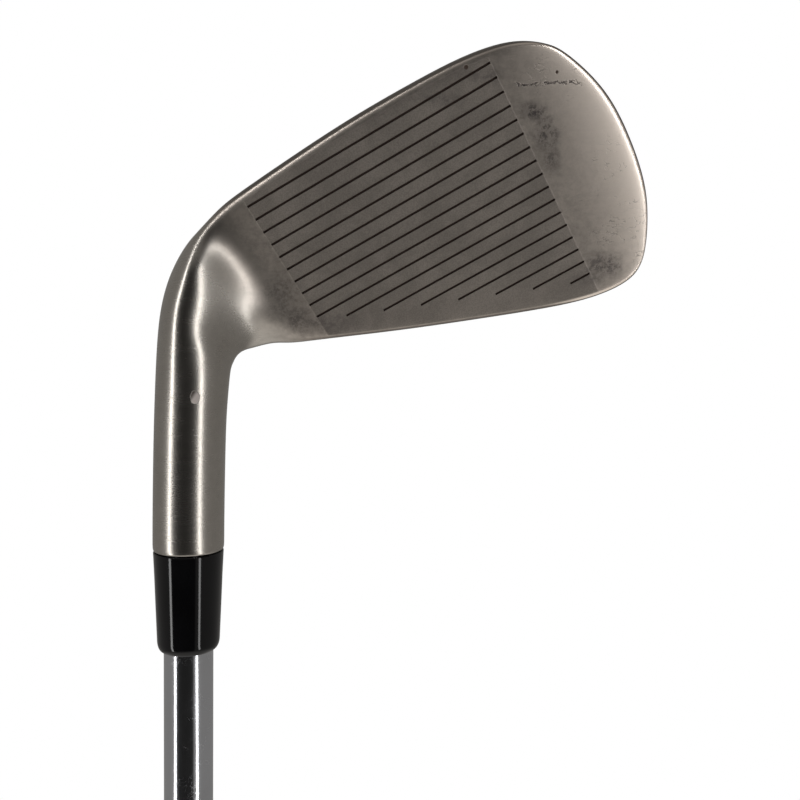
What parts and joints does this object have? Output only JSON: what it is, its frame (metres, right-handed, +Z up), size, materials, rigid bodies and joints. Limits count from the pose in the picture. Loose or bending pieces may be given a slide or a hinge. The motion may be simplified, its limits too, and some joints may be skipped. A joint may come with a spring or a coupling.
{
  "type": "iron golf club",
  "caption": "Right-handed mid-iron: forged grooved head with long hosel, tapered black ferrule, stepped chrome steel shaft and tapered rubber grip.",
  "frame": {"origin": "centre of the grip's butt end, on the shaft's axis", "axes": "+Z up the shaft from butt to head, +X toward the side the toe lies on, -Y the way the striking face looks"},
  "size_m": [0.1001, 0.0348, 1.0097],
  "materials": {
    "forged_steel": "satin-brushed forged steel, fine blasted hitting area with dark grooves, worn and lightly scratched",
    "black_acetate": "turned and polished to a high gloss",
    "chrome_plate": "bright chrome plate on drawn steel tube",
    "epoxy": "cured adhesive, not seen",
    "brass": "plain turned, not seen",
    "dark_film": "thin plain printed film",
    "paper_tape": "paper-backed adhesive tape, not seen",
    "black_rubber": "moulded rubber with a fine pattern of shallow pads",
    "hard_rubber": "smooth harder rubber"
  },
  "bodies": {
    "root": {"club_head": "forged_steel", "ferrule": "black_acetate", "shaft": "chrome_plate", "hosel_epoxy": "epoxy", "tip_weight": "brass", "shaft_band": "dark_film", "grip_tape": "paper_tape", "grip": "black_rubber", "grip_cap": "hard_rubber"}
  },
  "joints": []
}
